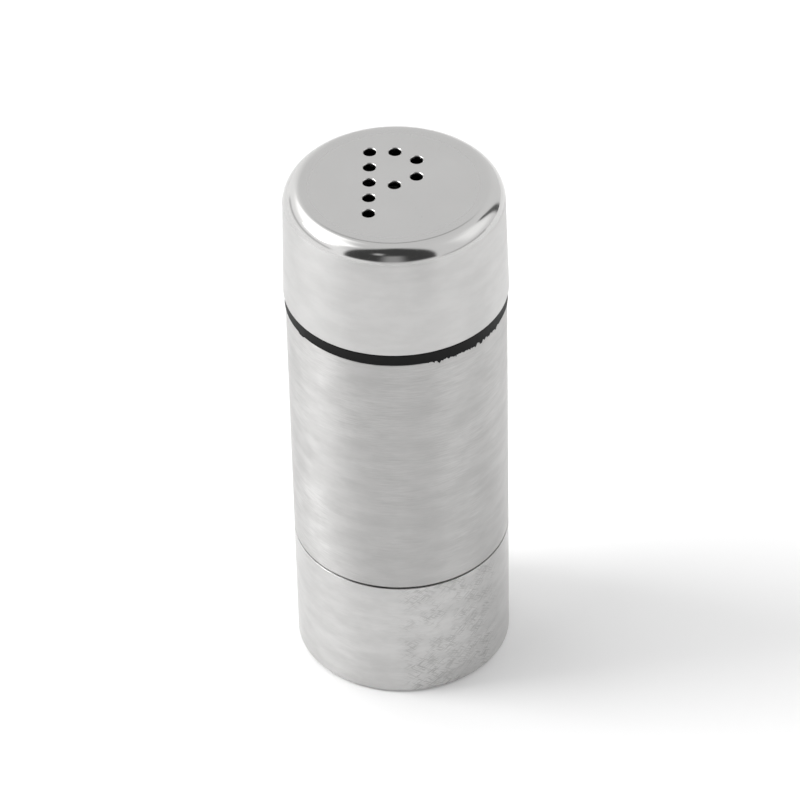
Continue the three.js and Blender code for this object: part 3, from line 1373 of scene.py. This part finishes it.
@dataclass
class Room:
    """The light tent: pale walls, a large softbox high on the left, and the open side by the camera.

    Walls and openings are levels of white light.
    """

    back: float = 0.9
    right: float = 0.96
    left: float = 1.25
    opening: float = 0.07
    turn: tuple[float, float] = (0.1, 0.5)  # how far to a side the back wall ends and the side wall starts
    left_fade: tuple[float, float] = (60, 30)  # elevations from none of the left wall to all of it
    sill: tuple[float, float] = (3, 12)  # elevations at which the opening starts
    opening_left: tuple[float, float] = (0.9, 0.117)  # its edge's slant sideways and upwards
    opening_right: tuple[float, float] = (-1.19, 0.129)
    slit_level: float = 0.5
    slit_ring: tuple[float, float, float] = (13, 1.5, 2.5)  # its radius, half width and fade, in degrees
    slit_fade: tuple[float, float] = (43, 51)  # elevations at which it starts
    mirrored_elevation: float = 39.4  # degrees
    softbox: Panel = Panel(-109, 34, 50, 10, 14, 2.1)
    bulb: Panel = Panel(-93, 10, 40, 6, 9, 13.5)
    left_gap: Panel = Panel(-100, 34, 12, 1, 6, 0.72)
    right_gap: Panel = Panel(72, 24, 2, 1, 4, 0.66)
    window: Panel = Panel(96, 9, 34, 6, 24, 1.35)
    stand: Panel = Panel(124, 2.5, 21, 21, 4, 0.12)
    post: Panel = Panel(-1, 3, 22, 14, 13, 0.42)
    lamp: Panel = Panel(-19, 2, 50, 2, 6, 0.7)

    def build(self) -> None:
        """Makes the world.

        Its level changes with direction only: the walls first, then the panels, then the opening.
        """
        world = bpy.data.worlds.new("light_tent")
        world.use_nodes = True
        bpy.context.scene.world = world
        graph = Graph(world.node_tree)
        sight = graph.term("ShaderNodeTexCoord", None, None, "Generated")
        x, y, z = graph.split(sight)
        azimuth = x.math("ARCTAN2", 0 - y) * math.degrees(1)
        elevation = z.math("ARCSINE") * math.degrees(1)
        back = x * 0 + self.back
        level = back.mixed(self.right, x.ramp(*self.turn))
        level = level.mixed(self.left, (x * -1).ramp(*self.turn) * elevation.ramp(*self.left_fade))
        level = level.mixed(self.back * self.slit_level, self.slit(graph, sight, elevation))
        for panel in (self.softbox, self.bulb, self.left_gap, self.right_gap, self.window, self.stand):
            level = panel.over(level, azimuth, elevation)
        dark = x * 0 + self.opening
        for panel in (self.post, self.lamp):
            dark = panel.over(dark, azimuth, elevation)
        level = level.mixed(dark, self.opened(x, y, z, elevation))
        background = graph.node("ShaderNodeBackground", None, {0: (1, 1, 1, 1), 1: level})
        graph.node("ShaderNodeOutputWorld", None, {0: background.outputs[0]})

    def opened(self, x: Term, y: Term, z: Term, elevation: Term) -> Term:
        """The tent's open side, whose edges soften towards the top.

        Args:
            x: The direction's part to the right.
            y: Its part away from the camera.
            z: Its part upwards.
            elevation: Its elevation in degrees.

        Returns:
            1 in the opening, 0 elsewhere.
        """
        inner = z**4 * 0.16 + 0.04
        share = elevation.ramp(*self.sill)
        for sideways, upwards in (self.opening_left, self.opening_right):
            share = (x * sideways - y + z * upwards).ramp(-0.02, inner) * share
        return share

    def slit(self, graph: Graph, sight: Term, elevation: Term) -> Term:
        """The dark slit over the back wall, round the part of it that the flat top mirrors.

        Args:
            graph: The world's tree.
            sight: The direction looked in.
            elevation: Its elevation in degrees.

        Returns:
            1 in the slit, 0 elsewhere.
        """
        mirrored = math.radians(self.mirrored_elevation)
        centre = (0.0, math.cos(mirrored), math.sin(mirrored))
        sockets = {0: sight, 1: centre}
        nearness = graph.term("ShaderNodeVectorMath", {"operation": "DOT_PRODUCT"}, sockets, "Value")
        distance = nearness.math("ARCCOSINE") * math.degrees(1)
        return distance.window(*self.slit_ring) * elevation.ramp(*self.slit_fade)


@dataclass
class Studio:
    """A white table, the light tent and the camera."""

    floor_size: float = 8.0
    floor_white: float = 0.82
    floor_roughness: float = 0.6
    floor_glow: float = 0.14
    aim: tuple[float, float, float] = (0.22 * MM, 0.0, 51.73 * MM)
    distance: float = 892 * MM
    azimuth: float = math.radians(1.31)
    elevation: float = math.radians(39.5)
    roll: float = math.radians(-1.34)
    lens: float = 230.4

    def build(self) -> None:
        """Makes the studio.

        The table comes first, then the light, then the camera.
        """
        self.table()
        Room().build()
        self.camera()

    def table(self) -> None:
        """Lays the table's white sheet, which is lit a little from below.

        It is one flat square under the shaker.
        """
        bm = bmesh.new()
        bmesh.ops.create_grid(bm, x_segments=1, y_segments=1, size=self.floor_size / 2)
        sheet = piece_of("floor", bm)
        white = (self.floor_white, self.floor_white, self.floor_white)
        finish = TableSheet("table_sheet", white, self.floor_roughness, glow=self.floor_glow)
        sheet.data.materials.append(finish.material())

    def camera(self) -> None:
        """Sets up the long lens that looks down on the shaker.

        The camera is the scene's own, and the picture's tones are left as they come.
        """
        lens = bpy.data.cameras.new("camera")
        lens.lens = self.lens
        lens.clip_end = 2 * self.floor_size
        eye = bpy.data.objects.new("camera", lens)
        flat = math.cos(self.elevation)
        sideways, forwards = math.sin(self.azimuth) * flat, math.cos(self.azimuth) * flat
        back = Vector((sideways, -forwards, math.sin(self.elevation)))
        eye.location = Vector(self.aim) + back * self.distance
        upright = back.to_track_quat("Z", "Y").to_matrix()
        eye.rotation_euler = (upright @ Matrix.Rotation(self.roll, 3, "Z")).to_euler()
        bpy.context.scene.collection.objects.link(eye)
        bpy.context.scene.camera = eye
        bpy.context.scene.view_settings.view_transform = "Standard"


def main() -> None:
    """Builds the studio, then the shaker from the cap down.

    The log has a line for each piece.
    """
    logging.basicConfig(level=logging.INFO, format="%(name)s: %(message)s")
    Studio().build()
    bright_steel = (0.57, 0.566, 0.56)
    # the sleeve's copy of the steel colour is painted darker than the cap's and base's: painted shade for
    # the darker side the sleeve shows under this light
    shade_darkened_steel = (0.52, 0.516, 0.51)
    cap = PiercedCap()
    _, cap_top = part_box("cap_shell")
    foot, flat = cap_top.z - cap.shoulder, cap.top_radius - cap.shoulder
    pieces: list[tuple[Part, Surface]] = [
        (cap, DrawnSteel("drawn_steel", bright_steel, 0.355, shoulder=foot, flat_radius=flat)),
        (ScrewInsert(), Moulding("insert_plastic", (0.018, 0.018, 0.018), 0.42)),
        (SealingWasher(), Moulding("washer_silicone", (0.72, 0.71, 0.68), 0.5, texture_depth=0.002 * MM)),
        (RubberBand(), Moulding("band_rubber", (0.007, 0.007, 0.007), 0.5, gloss=0.12)),
        (PepperJar(), Moulding("jar_plastic", (0.02, 0.02, 0.02), 0.42)),
        (SteelSleeve(), BrushedSteel("sleeve_steel", shade_darkened_steel, 0.41)),
        (
            SteelBase(),
            BrushedSteel("base_steel", bright_steel, 0.35, smear=0.78, contrast=0.4, rub_strength=1.3),
        ),
        (RubberFoot(), Moulding("foot_rubber", (0.03, 0.03, 0.03), 0.75)),
    ]
    for part, finish in pieces:
        piece = part.build(finish)
        LOG.info("%s: %d faces", piece.name, len(piece.data.polygons))


if __name__ == "__main__":
    main()
